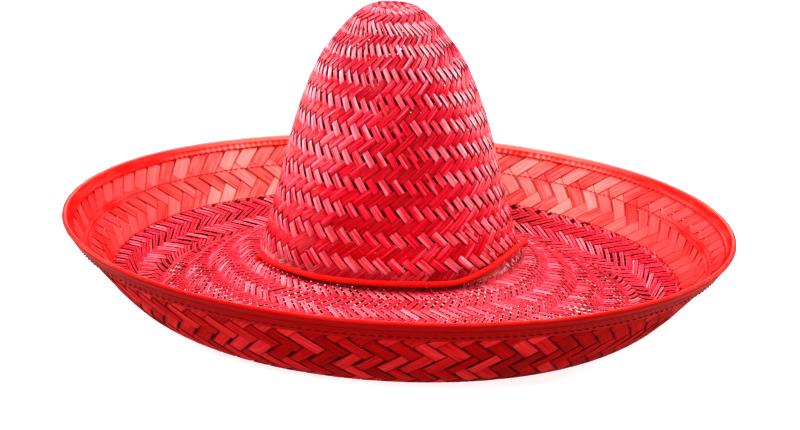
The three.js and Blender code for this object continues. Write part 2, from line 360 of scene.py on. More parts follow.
def fine_palm():
    # its edge colour is the near black of the painted shade in the slits and dips; the pink after it is a painted
    # sheen, and the colour after that is multiplied in as painted shade
    return palm(
        "fine_palm", dark=(0.4, 0.0, 0.006), middle=(0.84, 0.003, 0.05), light=(1.0, 0.5, 0.56),
        edge=(0.03, 0.0, 0.001), painted_sheen=(1.0, 0.055, 0.1), painted_shade=(0.3, 0.05, 0.15), rough=0.3, specular=0.22,
        fibre=2.2, anisotropic=0.9,
    )


def wide_palm(name="wide_palm", specular=0.2, anisotropic=0.6):
    """The wide palm's smooth side, painted paler as the lit copy of the band's palm: painted light."""
    return palm(
        name, dark=(0.8, 0.03, 0.03), middle=(0.97, 0.235, 0.215), light=(1.0, 0.45, 0.4),
        edge=(0.14, 0.0, 0.001), painted_sheen=(1.0, 0.3, 0.25), painted_shade=(0.92, 0.25, 0.27), rough=0.4, specular=specular,
        fibre=1.1, anisotropic=anisotropic,
    )


def wide_palm_shaded():
    """The wide palm's other side, painted darker and duller as the shaded copy of the wide palm: painted shade."""
    return palm(
        "wide_palm_shaded", dark=(0.2, 0.0, 0.001), middle=(0.35, 0.002, 0.004), light=(0.6, 0.045, 0.055),
        edge=(0.03, 0.0, 0.0), painted_sheen=(1.0, 0.3, 0.25), painted_shade=WHITE, rough=0.6, specular=0.02, fibre=1.1,
        anisotropic=0.2,
    )


def tape_red():
    """Woven tape with paler patches, a painted sheen on the rim's fold and on its gathers, painted shade in its
    creases and along its stitches, and its outer face darkened as painted shade.
    """
    g = Graph("tape_red")
    weave = g.noise((3.0, 3.0), 3, 0.6)
    patches = g.noise((0.035, 0.3), 3, 0.6)
    color = g.ramp(weave, [(0.3, (0.7, 0.003, 0.004)), (0.7, (0.95, 0.02, 0.016))])
    color = g.mix(g.ramp(patches, [(0.45, BLACK), (0.8, (0.5, 0.5, 0.5))]), color, (1.0, 0.14, 0.12))
    # painted sheen
    color = g.mix(g.attribute("painted_sheen"), color, (1.0, 0.46, 0.4))
    # painted shade in the creases and along the stitches
    color = g.mix(g.attribute("edge"), color, (0.3, 0.0, 0.002))
    # painted shade on the tape's outer face
    color = g.mix(g.attribute("painted_shade"), color, (0.3, 0.02, 0.05), "MULTIPLY")
    return g.finish(color, {"Roughness": 0.5, "Specular IOR Level": 0.04}, (weave, 0.3, 0.0003))


def cord_red():
    """Spun fibre, with painted shade in the hollows between the braid's strands."""
    g = Graph("cord_red")
    fuzz = g.noise((3.0, 0.6), 4, 0.7)
    color = g.ramp(fuzz, [(0.3, (0.92, 0.003, 0.004)), (0.7, (1.0, 0.07, 0.045))])
    color = g.mix(g.attribute("dip_shade"), color, (0.45, 0.0, 0.001))
    return g.finish(color, {"Roughness": 0.7, "Specular IOR Level": 0.1}, (fuzz, 0.5, 0.0003))


def thread_red(name, dark, light):
    """Spun thread."""
    g = Graph(name)
    color = g.ramp(g.noise((1.0, 2.0), 2, 0.5), [(0.3, dark), (0.7, light)])
    return g.finish(color, {"Roughness": 0.6, "Specular IOR Level": 0.1})


def turned_wood():
    """Lacquered wood with its grain along the slider's length."""
    g = Graph("turned_wood")
    grain = g.noise((0.25, 2.4), 4, 0.6)
    color = g.ramp(grain, [(0.3, (0.32, 0.15, 0.055)), (0.5, (0.52, 0.3, 0.13)), (0.7, (0.62, 0.4, 0.2))])
    return g.finish(color, {"Roughness": 0.4, "Coat Weight": 0.5, "Coat Roughness": 0.15}, (grain, 0.25, 0.0002))


def drawn_steel():
    """The rim wire."""
    g = Graph("drawn_steel")
    color = g.ramp(g.noise(900, 2, 0.5), [(0.3, (0.35, 0.35, 0.36)), (0.7, (0.6, 0.6, 0.61))])
    return g.finish(color, {"Metallic": 1, "Roughness": 0.35})


# Plaits

ROUNDED = 0.3 # how far a strip's rise and fall is rounded


class Weave:
    """Two families of strips that cross on a sheet and pass over and under each other in a twill.

    Strips of one family run along angle = start + turn(1, s), and those of the other along start - turn(-1, s).
    The rule says, for strip i of the first and j of the second, whether i passes over j.
    """

    def __init__(self, section, count, turn_rate, rule, start, end, parts=1):
        self.section = section
        self.parts = parts # how many narrow strips lie side by side and run as one
        self.count = count
        self.rule = rule
        self.start = start
        self.end = end
        self.rates, self.turns = {}, {}
        for hand in (1, -1):
            rate = turn_rate(hand, section.s)
            self.rates[hand] = rate
            self.turns[hand] = np.concatenate([[0], np.cumsum((rate[1:] + rate[:-1]) / 2 * np.diff(section.s))])

    def turn(self, hand, s):
        return np.interp(s, self.section.s, self.turns[hand])

    def row(self, s):
        """How many strips of the other family a strip has crossed, by a distance along the sheet."""
        return (self.turn(1, s) + self.turn(-1, s)) * self.count / TAU

    def strips(self, hand, which, steps, shape, end_offsets):
        """Points and places of some strips of one family, as grids of strip, step and corner.

        shape gives the strips' two edges, as distances from their middle, and the profile of their cross-section:
        u (its corners, from -1 to 1 across), amplitude and sharp (of its rise and fall), height (of its corners),
        face (1 on the upper face, and how strongly a dip is painted dark as painted shade), how strongly its edges are
        painted dark as painted shade, how much painted sheen it has, and functions of the points: the painted shade
        multiplied into its colour and the painted light added to its tone.
        """
        section = self.section
        i = which[:, None] // self.parts
        t = np.linspace(0, 1, steps)[None, :]
        s = self.start + (self.end + end_offsets[which][:, None] - self.start) * t
        theta = TAU * i / self.count + hand * self.turn(hand, s)
        r = section.read(s)[0]
        slope = r * np.interp(s, section.s, self.rates[hand])
        across = 1 / np.sqrt(1 + slope**2)
        pitch = TAU * r * across / self.count
        low, high, profile = shape(hand, which[:, None], s, r, pitch)
        u = profile["u"][None, None, :]
        offset = low[..., None] * (1 - u) / 2 + high[..., None] * (1 + u) / 2
        s_at = s[..., None] - hand * offset * (slope * across)[..., None]
        theta_at = theta[..., None] + offset * (across / r)[..., None]
        s_at = np.clip(s_at, LINE_STEP, section.length)
        crossing = (theta_at + hand * self.turn(-hand, s_at)) * self.count / TAU
        lift = self.lift(hand, i[..., None], crossing, profile)
        height = lift * profile["amplitude"] + profile["height"](hand, which[:, None, None], s_at, u)
        points = on_sheet(section, s_at, theta_at, height)
        return points, offset, s_at, lift, profile

    def lift(self, hand, own, crossing, profile):
        """1 where a strip is over, -1 where it is under: a sharp step between, mixed with a rounded one."""
        base = np.floor(crossing).astype(int)
        f = crossing - base

        def side(k):
            other = base + k
            over = self.rule(own, other) if hand > 0 else self.rule(other, own)
            return np.where(over, 1.0, -1.0) * hand

        before, here, after, beyond = side(-1), side(0), side(1), side(2)
        sharp = here + (after - here) * smoothstep(f, 0.5 - profile["sharp"] / 2, 0.5 + profile["sharp"] / 2)
        round_ = (
            before * (1 - f) ** 3 + here * (3 * f**3 - 6 * f**2 + 4)
            + after * (-3 * f**3 + 3 * f**2 + 3 * f + 1) + beyond * f**3
        ) / 6
        return sharp * (1 - ROUNDED) + round_ * ROUNDED


def ribbon_mesh(name, weave, hand, which, steps, shape, end_offsets, tones, material, shaded=None):
    """Closed strips split lengthwise into quads, with both ends capped; shaded is the painted-shade material for their
    lower faces.
    """
    points, offset, s_at, lift, profile = weave.strips(hand, which, steps, shape, end_offsets)
    strips, rows, corners = points.shape[:3]
    faces = tube_faces(rows, corners, strips, flipped=hand < 0)
    strip = which[:, None, None]
    uv = np.stack([offset + 37.0 * strip, s_at + 11.0 * strip], -1) # so that no two strips share their streaks
    # the edges and the dips are painted dark as painted shade; the rest carries painted sheen, painted shade and
    # painted light as well as the strips' own tone
    attributes = {
        "tone": tones[strip] + profile["lighter"](points),
        "edge": np.abs(profile["u"]) * profile["shade_and_sheen"],
        "painted_sheen": profile["painted_sheen"],
        "dip_shade": np.clip(-lift * profile["face"] * 0.95 - 0.05, 0, 1),
        "painted_shade": profile["painted_shade"](points, s_at),
    }
    attributes = {key: np.broadcast_to(values, offset.shape) for key, values in attributes.items()}
    other = None
    if shaded:
        corner = np.tile(np.arange(corners), strips * (rows - 1))
        shaded_side = (profile["face"] < 0) | (np.roll(profile["face"], -1) < 0)
        other = (shaded, np.concatenate([shaded_side[corner], np.zeros(len(faces[1]), bool)]))
    return build_mesh(name, points, faces, material, uv, attributes, other)


# The fine plait: crown, brim and turn-up in one

FINE_COUNT = 112 # narrow strips in each direction
FINE_STEPS = 236 # along each strip
FINE_PIECES = 4 # for each hand, so that no mesh is over 200,000 triangles
FINE_THICK = 0.4
FINE_RISE = 0.6 # how far a strip goes up and down in the plait
TURN_UP = slice(24, 94, 6) # the part of the band's line that the fine plait lies on
body_section = Section(
    CROWN_LINE + BRIM_LINE + moved(spline(BAND_LINE, LINE_STEP), PLAIT_ON_BAND)[TURN_UP].tolist()
)
# Distances along the sheet, from the tip
TIP_START = 11.5
SPLIT = body_section.at_radius(36) # where the tip's double strips part
FOLD = body_section.at_radius(103) # between the crown and the brim
EDGE = body_section.at_radius(PLAIT_EDGE)
STEEPER = 0.28 # how much more steeply one hand's strips come down the crown
SLIPS = (21, 50, 75, 97) # strips after which the pattern slips by one, as in a hand-made plait
TIP_ROW, CROWN_ROW, BRIM_ROW = 8.4, 9.7, 10.4 # heights of the rows of chevrons


def fine_turn_rate(hand, s):
    """How fast a strip turns round the hat, from the rows' heights and how many strips lie side by side."""
    tip = 8 * np.pi / (FINE_COUNT * TIP_ROW)
    crown = 4 * np.pi / (FINE_COUNT * CROWN_ROW)
    brim = 3 * np.pi / (FINE_COUNT * BRIM_ROW)
    both = tip + (crown - tip) * smoothstep(s, SPLIT - 12, SPLIT + 12)
    both = both + (brim - crown) * smoothstep(s, FOLD - 8, FOLD + 8)
    skew = STEEPER * smoothstep(s, SPLIT - 30, SPLIT) * (1 - smoothstep(s, FOLD - 60, FOLD - 10))
    return both * (1 - hand * skew)


def fine_rule(i, j):
    """Over two and under two: by fours at the tip, by pairs in the crown; over three, under three in the brim."""
    row = j - i
    slip = sum((i % FINE_COUNT > at).astype(int) for at in SLIPS)
    crown = ((j // 2 - i // 2 + slip) % 4) < 2
    tip = ((j // 4 - i // 4) % 4) < 2
    brim = ((row + slip) % 6) < 3
    return np.where(row < ROW_AT_SPLIT, tip, np.where(row < ROW_AT_FOLD, crown, brim))


fine = Weave(body_section, FINE_COUNT, fine_turn_rate, fine_rule, TIP_START, EDGE, parts=2)
ROW_AT_SPLIT = int(fine.row(SPLIT))
ROW_AT_FOLD = int(fine.row(FOLD))

rng = np.random.default_rng(41)


def draws(high, shape):
    """Random values for each hand."""
    return {hand: rng.uniform(0, high, shape) for hand in (1, -1)}


fine_widths = draws(TAU, (4, FINE_COUNT))
fine_thin = draws(1, FINE_COUNT)
THIN_FROM = 0.68 # the strips that drew more than this are thinner in the middle of the brim
fine_split = draws(1, FINE_COUNT)


def waves(phases, which, s, lengths):
    """A smooth value between about -1 and 1 that differs for each strip."""
    total = sum(np.sin(TAU * s / length + phases[k][which]) for k, length in enumerate(lengths))
    return total / len(lengths)


TOP_U = [-1, -0.6, 0.6, 1]
UNDER_U = [0.8, -0.8]
FACE = np.array([1.0] * len(TOP_U) + [-1.0] * len(UNDER_U)) # 1 on a strip's upper face, -1 on its lower one


def in_brim(s):
    """0 in the crown and 1 in the brim."""
    return smoothstep(s, FOLD - 6, FOLD + 10)


def slit(hand, which, s, r):
    """Half the width of the slit between the two halves of a strip."""
    strip = which // 2
    splitting = waves(fine_widths[hand], strip, s, (143, 47, 19))
    outer = smoothstep(r, 118, 165) * in_brim(s)
    often = fine_split[hand][strip] * 0.5 + 0.5 * splitting - 0.2 - 0.15 * hand + 0.7 * outer
    shut = smoothstep(s, FOLD - 100, FOLD - 50) * (1 - in_brim(s))
    return 0.01 + (0.07 + 0.15 * outer) * smoothstep(often, 0.0, 0.4) * (1 - 0.8 * shut)


def fine_shape(hand, which, s, r, pitch):
    """The edges of each half of each narrow strip, and the outline of its cross-section."""
    i, second = which // 2, which % 2 == 1
    brim = in_brim(s)
    wobble = waves(fine_widths[hand], i, s, (61, 37, 23))

    # in the crown, where strips lie in pairs: the gap between two pairs, and the one inside a pair
    tip = 1 - smoothstep(s, SPLIT - 8, SPLIT + 4)
    top = 1 - smoothstep(s, SPLIT + 16, SPLIT + 60)
    low_crown = smoothstep(s, FOLD - 100, FOLD - 50)
    wide = 1.0 if hand > 0 else 0.2 + 0.1 * top - 0.32 * low_crown
    outer = wide * (1 + 0.5 * wobble + 0.5 * top) * (1 - 0.45 * smoothstep(s, FOLD - 70, FOLD - 25))
    inner = -0.02 + 0.22 * np.clip(wobble * 2 - 0.9, 0, 1)

    # in the brim: wider gaps beside the fold, in the loose middle and at the ragged edge
    near = smoothstep(r, 101, 106) * (1 - smoothstep(r, 118, 134))
    loose = smoothstep(r, 128, 158) * (1 - smoothstep(r, 206, 214))
    end = smoothstep(r, 213, 220)
    apart = 0.4 + 0.24 * wobble + 0.3 * near * (0.6 + wobble) + 0.5 * end
    apart = apart + (0.05 + 0.95 * (fine_thin[hand][i] > THIN_FROM)) * loose

    def gap_beside(between_pairs, joined):
        """The gap on one side, and at the tip next to none between two pairs that are joined in fours."""
        pairs = outer * (1 - tip) + tip * np.where(i % 4 == joined, 0.02, outer)
        return np.minimum(np.where(between_pairs, pairs, inner) * (1 - brim) + apart * brim, pitch * 0.34)

    low = -pitch / 2 + gap_beside(i % 2 == 0, joined=2)
    high = pitch / 2 - gap_beside(i % 2 == 1, joined=1)

    # the slit that parts the strip's two halves wanders across it
    wander = waves(fine_widths[-hand], i, s, (89, 53, 31)) * 0.14
    middle = (low + high) / 2 + wander * (high - low)
    half_slit = np.minimum(slit(hand, which, s, r), pitch * 0.1)
    low, high = np.where(second, middle + half_slit, low), np.where(second, high, middle - half_slit)
    u = np.array(TOP_U + UNDER_U)
    towards_slit = u * np.where(second, -1, 1)[..., None] > 0
    parted = smoothstep(half_slit, 0.02, 0.07)[..., None]
    profile = {
        "u": u, "amplitude": FINE_RISE, "sharp": 0.66, "height": fine_height, "face": FACE,
        # painted shade on the edges, weaker towards the slit; a painted sheen over the brim; painted shade under the
        # cord; painted light on the crown's top and in broad patches
        "shade_and_sheen": np.where(towards_slit, 0.6 + 0.4 * parted, 1.0),
        "painted_sheen": (0.15 + 0.85 * brim * (0.75 + 0.25 * wobble))[..., None],
        "painted_shade": shade_under_cord, "lighter": lambda points: 0.25 * top[..., None] + light_and_shade_patches(points),
    }
    return low, high, profile


# Broad patches of the crown painted paler (painted light) where the strength is positive and darker (painted shade)
# where it is negative:
# strength, then their middle and reach in degrees, and their middle and reach in height
LIGHT_AND_SHADE_PATCHES = [
    (0.3, 214, 16, 140, 36), (0.12, 292, 20, 125, 60), (0.15, 250, 30, 212, 16), (0.2, 110, 40, 150, 50),
    (-0.22, 256, 14, 120, 60), (-0.2, 228, 20, 70, 30),
]


def light_and_shade_patches(points):
    """How much paler the crown is painted, as painted light, and darker where negative, as painted shade; in the crown
    only.
    """
    degrees, z = angle_of(points, CROWN_SHIFT), points[..., 2]
    paler = sum(
        strength * bell(degrees, middle, reach) * bell(z, height, rise)
        for strength, middle, reach, height, rise in LIGHT_AND_SHADE_PATCHES
    )
    return smoothstep(z, 45, 60) * paler


def shade_under_cord(points, s):
    """Painted shade in the fold all round, and a deeper painted shadow on the brim just below the front cord."""
    degrees = angle_of(points, CROWN_SHIFT)
    front = smoothstep(degrees, 192, 208) * (1 - smoothstep(degrees, 286, 304))
    fold = 0.45 * smoothstep(s, FOLD - 18, FOLD - 8) * (1 - smoothstep(s, FOLD, FOLD + 6))
    cord = 0.9 * front * smoothstep(s, FOLD - 2, FOLD + 1) * (1 - smoothstep(s, FOLD + 4, FOLD + 12))
    return np.maximum(fold, cord)


def fine_height(hand, which, s, u):
    """The strip's thickness, and its arch across the pair, the strip or each half of it."""
    strip, second = which // 2, which % 2 == 1
    brim = in_brim(s)
    pair = np.where(strip % 2 == 1, 1.0, -1.0) # the side on which a crown strip's other half lies
    across = u / 2 + np.where(second, 0.5, -0.5)
    r = body_section.read(s)[0]
    parted = smoothstep(slit(hand, which, s, r), 0.02, 0.07)
    double = 0.11 * (1 - ((across + pair) / 2) ** 2)
    single = 0.14 * (1 - across**2) * (1 - parted) + 0.09 * (1 - u**2) * parted
    arch = (single * brim + double * (1 - brim)) * (FACE > 0)
    tilt = 0.1 * waves(fine_widths[hand][::-1], strip, s, (29, 17, 53)) * across * brim
    lifted = 0.12 * waves(fine_widths[-hand], strip, s, (41, 23, 67)) * np.where(second, 1, -1) * parted * brim
    return FINE_THICK / 2 * FACE + arch + tilt + lifted


def fine_plait():
    """The strips' halves, in four pieces for each hand."""
    material = fine_palm()
    ragged = {hand: rng.uniform(-4.0, 1.2, 2 * FINE_COUNT) for hand in (1, -1)}
    # one family of strips is painted paler than the other as a painted highlight; the rest of the tone differs at
    # random from strip to strip
    tones = {
        hand: 0.23 * hand + 0.6 * np.repeat(rng.uniform(0, 1, FINE_COUNT), 2) + 0.4 * rng.uniform(0, 1, 2 * FINE_COUNT)
        for hand in (1, -1)
    }
    nodes = ("crown", "inner_brim", "brim_turn_up") # all on the first piece
    for hand, side in ((1, "right"), (-1, "left")):
        for k, which in enumerate(np.array_split(np.arange(2 * FINE_COUNT), FINE_PIECES)):
            name = f"plait_{side}_{k + 1}"
            mesh = ribbon_mesh(name, fine, hand, which, FINE_STEPS, fine_shape, ragged[hand], tones[hand], material)
            new_piece(name, mesh, nodes)
            nodes = ()


STAR_COUNT = 8 # strips in each direction
STAR_STEPS = 56
STAR_WIDTH = 3.1
STAR_PITCH = 4.3
STAR_REACH = 20.5
STAR_TURN = 38 # degrees from +X to the first strips
STAR_CENTRE = (2.4, -1.6) # from the crown's axis
STAR_DIVE = 2.3 # how far a strip's ends go down, under the first rows


def tip_star():
    """The plait's start: two sets of strips crossed over the crown's tip, their ends under the first rows."""
    u = np.array(TOP_U + UNDER_U)
    t = np.linspace(-1, 1, STAR_STEPS)
    dome_r, dome_z = body_section.line[:110].T # well past the strips' ends
    points, tones, uv = [], [], []
    for hand in (0, 1):
        for k in range(STAR_COUNT):
            aside = (k - (STAR_COUNT - 1) / 2) * STAR_PITCH + rng.uniform(-0.25, 0.25)
            reach = np.sqrt((STAR_REACH + rng.uniform(-1.5, 1.5)) ** 2 - aside**2)
            along = (t * reach)[:, None] + 0 * u[None]
            across = aside + u[None] * STAR_WIDTH / 2 + 0.5 * np.sin(along / 5 + k)
            angle = np.radians(STAR_TURN + 90 * hand)
            x = along * np.cos(angle) - across * np.sin(angle) + STAR_CENTRE[0]
            y = along * np.sin(angle) + across * np.cos(angle) + STAR_CENTRE[1]
            r = np.hypot(x, y)
            dome = np.interp(r, dome_r, dome_z)
            wave = np.cos(np.pi * (along / STAR_PITCH + k + hand)) * (1 if hand else -1)
            dive = STAR_DIVE * (1 - smoothstep(reach - np.abs(along), 0, 4.5))
            height = 0.42 * wave + 0.3 + 0.6 * smoothstep(r, 9, 13) - dive
            height = height + 0.15 * FACE[None] + 0.06 * (1 - u**2) * (FACE > 0)
            dx, dy = axis_shift(r, dome)
            points.append(np.stack([x + dx, y + dy, dome + height], -1))
            tones.append(np.full(along.shape, rng.uniform(0.3, 1.1)))
            uv.append(np.stack([across, along], -1))
    shape = np.shape(tones)
    # painted shade at the strips' edges and an even painted sheen
    attributes = {
        "tone": tones, "edge": np.broadcast_to(np.abs(u), shape), "dip_shade": np.zeros(shape), "painted_shade": np.zeros(shape),
        "painted_sheen": np.full(shape, 0.3),
    }
    faces = tube_faces(STAR_STEPS, len(u), copies=len(points))
    mesh = build_mesh("tip_star", points, faces, bpy.data.materials["fine_palm"], uv, attributes)
    new_piece("tip_star", mesh)


# The wide band of the outer brim

BAND_COUNT = 90 # strips in each direction
BAND_ROW = 18.0 # height of a row
BAND_STEPS = 60
BAND_PHASE = 1 # where the first row begins
BAND_THICK = 0.36
BAND_RISE = 0.36
band_section = Section(BAND_LINE)
BAND_SEAM = band_section.at_radius(222)
band_widths = draws(TAU, (4, BAND_COUNT))


def band_turn_rate(hand, s):
    """The same for both hands, all the way."""
    return np.full_like(s, TAU / (BAND_COUNT * BAND_ROW))


def band_rule(i, j):
    """Over two and under two, in level rows."""
    return ((j - i + BAND_PHASE) % 4) < 2


BAND_TOP_U = [-1, -0.9, -0.44, -0.38, -0.32, 0.2, 0.26, 0.32, 0.9, 1]
BAND_UNDER_U = [0.9, 0.32, 0.26, 0.2, -0.32, -0.38, -0.44, -0.9]
BAND_FACE = np.array([1.0] * len(BAND_TOP_U) + [-1.0] * len(BAND_UNDER_U))
SPLITS = (-0.38, 0.26) # where across its width a strip may be split
band_splits = draws(1, (2, BAND_COUNT))


def side_shade(points, s):
    """How much painted shade darkens the palm: all of it at the rim's two sides, least at the back, which is left
    paler as painted light.
    """
    return smoothstep(from_lit_side(angle_of(points)), 30, 72)


def band_shape(hand, i, s, r, pitch):
    """Strips that meet edge to edge, with slits beside those of one family only, so that no light comes through."""
    gap = 0.42 + 0.55 * waves(band_widths[hand], i, s, (83, 51, 29)) if hand > 0 else -0.1
    drift, next_drift = (
        1.1 * waves(band_widths[hand][::-1], k % BAND_COUNT, s * 0, (97, 61, 43)) for k in (i, i + 1)
    )
    up = BAND_FACE > 0
    profile = {
        # painted shade at the strips' edges and, weaker on the upper face, in the dips; painted shade at the rim's
        # sides, with the back left paler as painted light
        "u": np.array(BAND_TOP_U + BAND_UNDER_U), "amplitude": BAND_RISE, "sharp": 0.5,
        "height": band_height, "face": BAND_FACE * np.where(up, 0.35, 1.0), "shade_and_sheen": np.where(up, 0.93, 1.0),
        "painted_sheen": 0.0, "painted_shade": side_shade, "lighter": lambda points: 0.0,
    }
    return -pitch / 2 + gap + drift, pitch / 2 - gap + next_drift, profile


def band_height(hand, i, s, u):
    """Flat leaf, cupped a little, pulled in along the seam and tilted strip by strip."""
    arch = 0.1 * (1 - u**2) * (BAND_FACE > 0)
    tilt = 0.12 * waves(band_widths[hand][::-1], i, s, (37, 59, 23)) * u
    crease = 0.3 * bell(s, BAND_SEAM, 2.2)
    groove = 0.0
    for k, split in enumerate(SPLITS):
        often = band_splits[hand][k][i] - 0.62 + 0.3 * waves(band_widths[hand], i, s, (67, 41, 89))
        groove = groove + 0.16 * smoothstep(often, 0.0, 0.12) * (np.abs(u - split) < 0.01)
    return BAND_FACE * (BAND_THICK / 2 - groove) + arch + tilt + crease


def wide_band():
    """The outer band's strips, in one piece for each hand."""
    weave = Weave(band_section, BAND_COUNT, band_turn_rate, band_rule, 0.6, band_section.length - 0.3)
    # the band's two sides are a lit and a shaded copy of one palm: painted light and painted shade
    material, shaded = wide_palm(), wide_palm_shaded()
    which = np.arange(BAND_COUNT)
    for hand, side, nodes in ((1, "right", ("outer_band",)), (-1, "left", ())):
        ends = rng.uniform(-0.4, 0.0, BAND_COUNT)
        tones = rng.uniform(0, 1, BAND_COUNT)
        name = f"wide_band_{side}"
        mesh = ribbon_mesh(name, weave, hand, which, BAND_STEPS, band_shape, ends, tones, material, shaded)
        new_piece(name, mesh, nodes)


# The rim: a tape folded over the wire, puckered by its rows of stitches

TAPE_LEG = 14.5 # down the rim's outer face
TAPE_INNER_LEG = 7.0
TAPE_LIFT = 1.3 # from the band's middle line to the tape's
TAPE_ROUND = 1.6 # radius of the tape's middle line round the wire
TAPE_HALF = 0.25 # half its thickness
TAPE_STEPS = 1190 # round the rim
TAPE_STEP = 0.55 # across the tape
FOLD_POINTS = 9 # that draw the tape's turn round the wire
STITCH_PITCH = 6.0
ROWS_OUTSIDE = (-11.3, -15.0) # distances from the top of the rim, negative on the outer face
ROWS_INSIDE = (9.6,)
CREASES = [(-9.3, 0.35, 0.55), (-16.4, 0.4, 0.45), (10.6, 0.5, 0.15)] # place across the tape, width, darkness of the painted shade in the crease
RIM = 258 # radius


def tape_path():
    """The tape's middle line from the outer leg's edge over the wire to the inner leg's edge."""
    line, s = band_section.line, band_section.s
    leg = line[s > s[-1] - TAPE_LEG]
    inner_leg = line[s > s[-1] - TAPE_INNER_LEG]
    centre = np.array(WIRE_CENTRE)
    up = unit(centre - leg[0])
    start = np.arctan2(up[1], up[0]) - np.pi / 2
    turn = np.linspace(start, start + np.pi, FOLD_POINTS)
    fold = centre + TAPE_ROUND * np.stack([np.cos(turn), np.sin(turn)], 1)
    sparse = slice(None, None, 3) # the legs are drawn more finely than they need to be
    path = np.vstack([moved(leg, -TAPE_LIFT)[sparse], fold, moved(inner_leg, TAPE_LIFT)[::-1][sparse]])
    return spline(path, TAPE_STEP)


def pucker(w, around):
    """How far the tape stands off along its width w and round the rim, in millimetres."""
    phase = TAU * around / STITCH_PITCH
    slow = np.sin(TAU * around / 71) + np.sin(TAU * around / 113 + 1)

    # on the outer face: a ridge above the upper row and slanted folds between the two, pulled in at each stitch
    slanted = np.sin(phase + 0.9 * (w + 13) + 0.5 * slow)
    outer = bell(w, -10.2, 0.9) * 0.3 + bell(w, -13.2, 2.6) * 0.24 * (1 + slanted)
    for row in ROWS_OUTSIDE:
        outer = outer - bell(w, row, 0.75) * 0.16 * (1 + np.cos(phase))

    # inside: gathers on both sides of the one row
    inner = bell(w, 11.3, 1.2) * 0.3 * (1 + np.sin(phase + 0.35 * slow)) + bell(w, 7.2, 1.8) * 0.1 * np.sin(phase)
    for row in ROWS_INSIDE:
        inner = inner - bell(w, row, 0.8) * 0.16 * (1 + np.cos(phase + 0.35 * slow))

    soft = 0.05 * np.sin(TAU * around / 23 + w / 3) + 0.05 * np.sin(TAU * around / 41 - w / 2)
    return outer + inner + soft


def rim_tape():
    """The tape's section carried round the rim, with half as many points on its hidden side."""
    path = tape_path()
    w = lengths_along(path)
    w = w - w[np.argmax(path[:, 1])] # from the top of the rim
    normal = -normals_of(path) # outwards
    hidden = np.arange(len(path))[::-2]
    order = np.concatenate([np.arange(len(path)), hidden])
    thick = np.where(np.arange(len(order)) < len(path), TAPE_HALF, -TAPE_HALF)
    theta = np.linspace(0, TAU, TAPE_STEPS, endpoint=False)
    grid_w, grid_a = np.meshgrid(w[order], theta * RIM)
    phase = TAU * grid_a / STITCH_PITCH
    stand = pucker(grid_w, grid_a) + thick
    scallop = 0.5 * np.sin(phase) * smoothstep(grid_w / w.max(), 0.86, 1.0)
    across = unit(np.gradient(path, axis=0))
    radius, height = (path[order, k] + normal[order, k] * stand + across[order, k] * scallop for k in (0, 1))
    points = np.stack([radius * np.cos(theta)[:, None], radius * np.sin(theta)[:, None], height], -1)

    # painted shade along the stitches and in the creases
    dark = 0.3 * sum(bell(grid_w, row, 0.6) for row in (*ROWS_OUTSIDE, *ROWS_INSIDE)) * (0.5 + 0.5 * np.cos(phase))
    for place, width, darkness in CREASES:
        dark = dark + darkness * bell(grid_w, place, width)

    # painted sheen on the fold and, at the back of the rim, on the gathers that stand out
    slow = np.sin(grid_a / 61) + np.sin(grid_a / 27 + 2)
    # the back of the rim is painted paler as painted light
    back = 1 - smoothstep(from_lit_side(np.degrees(grid_a / RIM)), 24, 60)
    uneven = np.sin(grid_a / 9.3 + 1.3 * np.sin(grid_a / 31)) + 0.6 * np.sin(grid_a / 5.1 + 2)
    gathers = (0.5 + 0.5 * np.sin(phase + 0.8 * slow + 0.7 * uneven)) ** 1.3 * (0.7 + 0.3 * uneven)
    shade_and_sheen = 0.6 * (1 - smoothstep(grid_w, 3.6, 5.4)) + 0.85 * bell(grid_w, 8.0, 2.6) * gathers
    painted_sheen = (0.35 + 0.3 * back) * bell(grid_w, 0.6, 0.8) + bell(grid_w, 8.2, 1.6) * np.clip(0.08 + 0.1 * slow, 0, 1)
    painted_sheen = painted_sheen + back * smoothstep(grid_w, -1, 0.5) * shade_and_sheen
    # the outer face is darkened as painted shade
    attributes = {
        "edge": np.clip(dark, 0, 1), "painted_shade": 1 - smoothstep(grid_w, -3.5, -0.5), "painted_sheen": np.clip(painted_sheen, 0, 1),
    }
    faces = [ring_faces(TAPE_STEPS, len(order))]
    mesh = build_mesh("rim_tape", points, faces, tape_red(), np.stack([grid_a, grid_w], -1), attributes)
    new_piece("rim_tape", mesh, ("rim_binding",))


# Stitches

STITCH_RADIUS = 0.4
STITCH_STEPS, STITCH_SIDES = 7, 6


def stitch_ring(name, section, s, lift, pitch, length, side, material):
    """A row of separate stitches round the hat: short threads that come out of the sheet and go back in."""
    r = section.read(s)[0]
    count = int(TAU * r / pitch)
    t = np.linspace(-1, 1, STITCH_STEPS)
    centre = (np.arange(count) + 0.5) * TAU / count
    theta = centre[:, None] + t * length / 2 / r
    where = s + 0.25 * np.sin(centre * 37)[:, None] # a little to either side of the row
    height = side * (lift + STITCH_RADIUS * (1 - 2.2 * np.abs(t) ** 3)) # its ends are sunk in the sheet
    path = on_sheet(section, np.broadcast_to(where, theta.shape), theta, height)
    radius = STITCH_RADIUS * np.sqrt(np.clip(1 - 0.55 * t**4, 0.2, 1))

    tangent = unit(np.gradient(path, axis=1))
    aside = unit(np.cross(tangent, [0.0, 0.0, 1.0]))
    over = np.cross(aside, tangent)
    angle = TAU * np.arange(STITCH_SIDES) / STITCH_SIDES
    around = aside[:, :, None] * np.cos(angle)[:, None] + over[:, :, None] * np.sin(angle)[:, None]
    points = path[:, :, None] + around * radius[:, None, None]
    along = np.array([lengths_along(thread) for thread in path])[..., None] + 3.1 * np.arange(count)[:, None, None]
    uv = np.stack(np.broadcast_arrays(angle * 2, along), -1)
    return build_mesh(name, points, tube_faces(STITCH_STEPS, STITCH_SIDES, count), material, uv)


